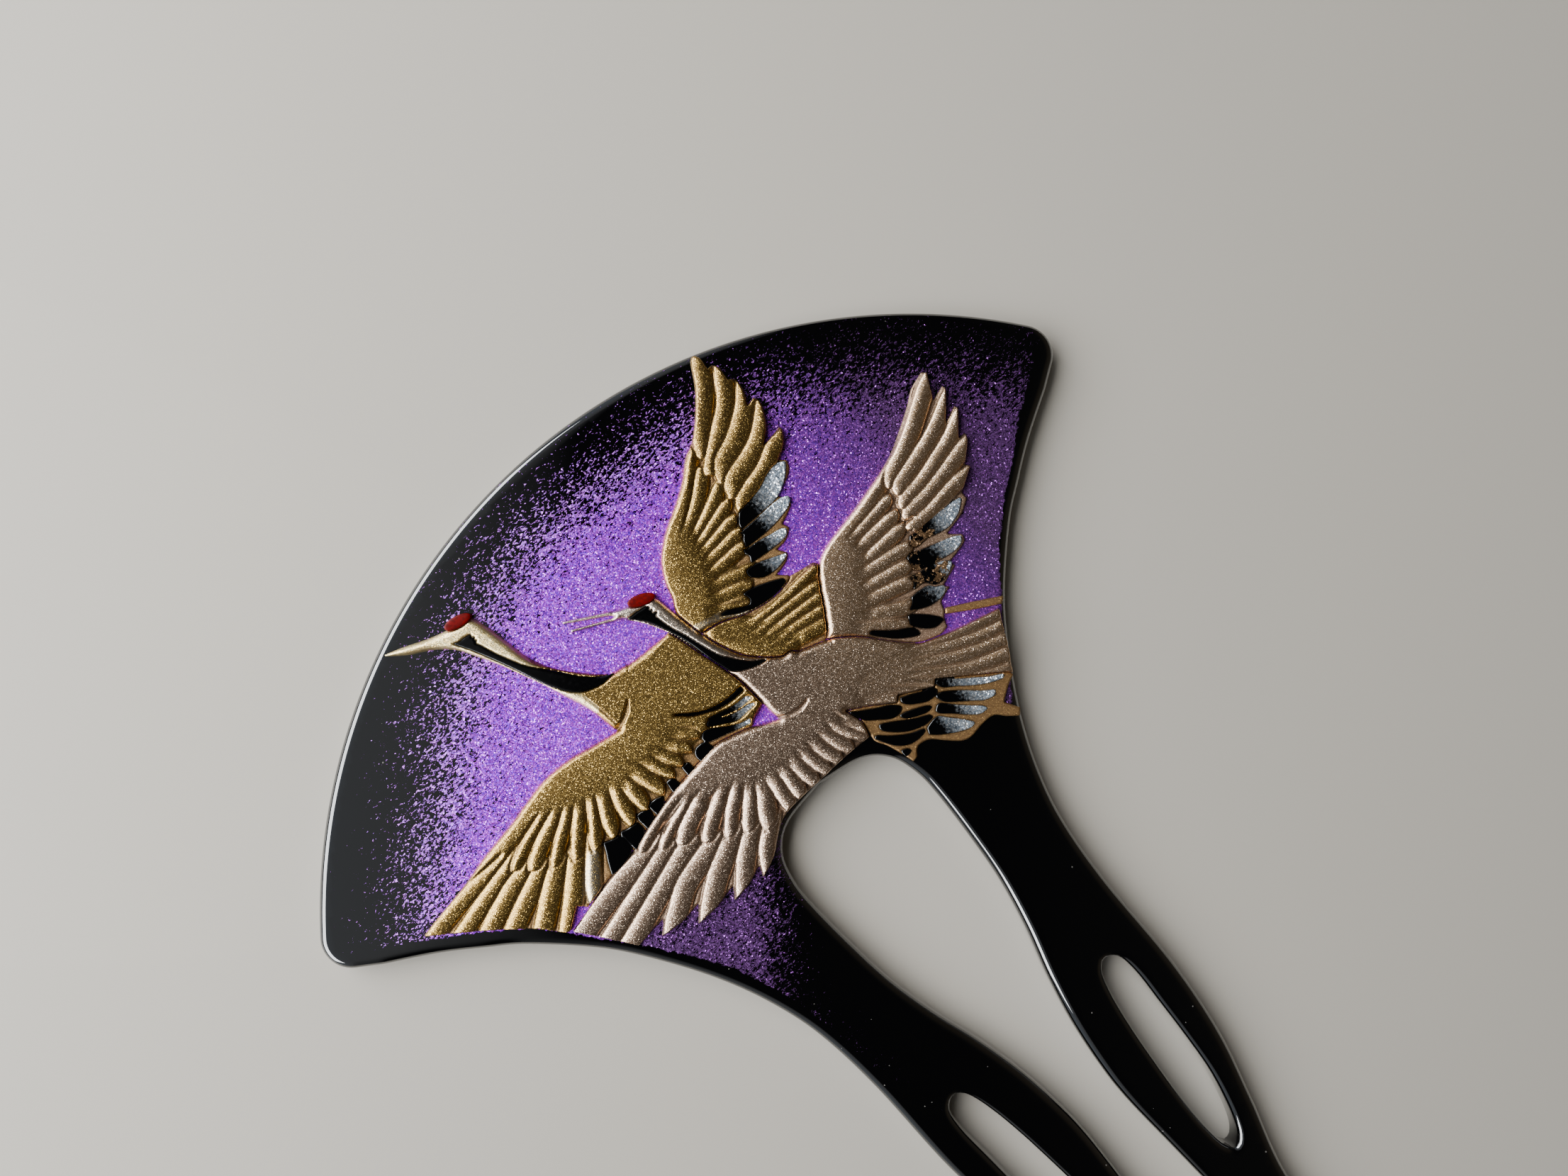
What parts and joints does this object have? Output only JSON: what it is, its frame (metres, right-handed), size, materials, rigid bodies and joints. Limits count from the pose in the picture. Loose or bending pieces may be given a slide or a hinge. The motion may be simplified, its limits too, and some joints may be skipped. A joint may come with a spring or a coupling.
{
  "type": "kanzashi hairpin with two prongs",
  "caption": "Flat plectrum-shaped hair ornament with two slotted prongs and flying cranes raised in gold and silver lacquer.",
  "frame": {"origin": "centre of the ornament's box, on its flat back", "axes": "+Y towards the crest of the head, +Z out of the decorated front, +X to the right as the front is seen with the crest up"},
  "size_m": [0.09, 0.134, 0.0039],
  "materials": {
    "black_lacquer": "mirror-gloss black lacquer with violet powder sprinkled over the front of the head",
    "gold_powder": "fine gold powder, satin with glitter",
    "silver_powder": "fine pinkish silver powder, satin with glitter",
    "black_feather": "gloss black lacquer, some feathers with bluish silver glitter towards their tips",
    "red_lacquer": "gloss dark red lacquer"
  },
  "bodies": {
    "root": {"body": "black_lacquer", "gold_crane_neck": "gold_powder", "gold_crane_left_wing": "gold_powder", "gold_crane_right_wing": "gold_powder", "gold_crane_tail": "gold_powder", "gold_crane_crown": "red_lacquer", "gold_crane_neck_stripe": "black_feather", "gold_crane_left_flights": "black_feather", "gold_crane_right_flights": "black_feather", "silver_crane_neck": "silver_powder", "silver_crane_left_wing": "silver_powder", "silver_crane_right_wing": "silver_powder", "silver_crane_tail": "silver_powder", "silver_crane_crown": "red_lacquer", "silver_crane_neck_stripe": "black_feather", "silver_crane_right_flights": "black_feather", "silver_crane_plume_ground": "gold_powder", "silver_crane_plumes": "black_feather", "silver_crane_leg": "gold_powder"}
  },
  "joints": []
}
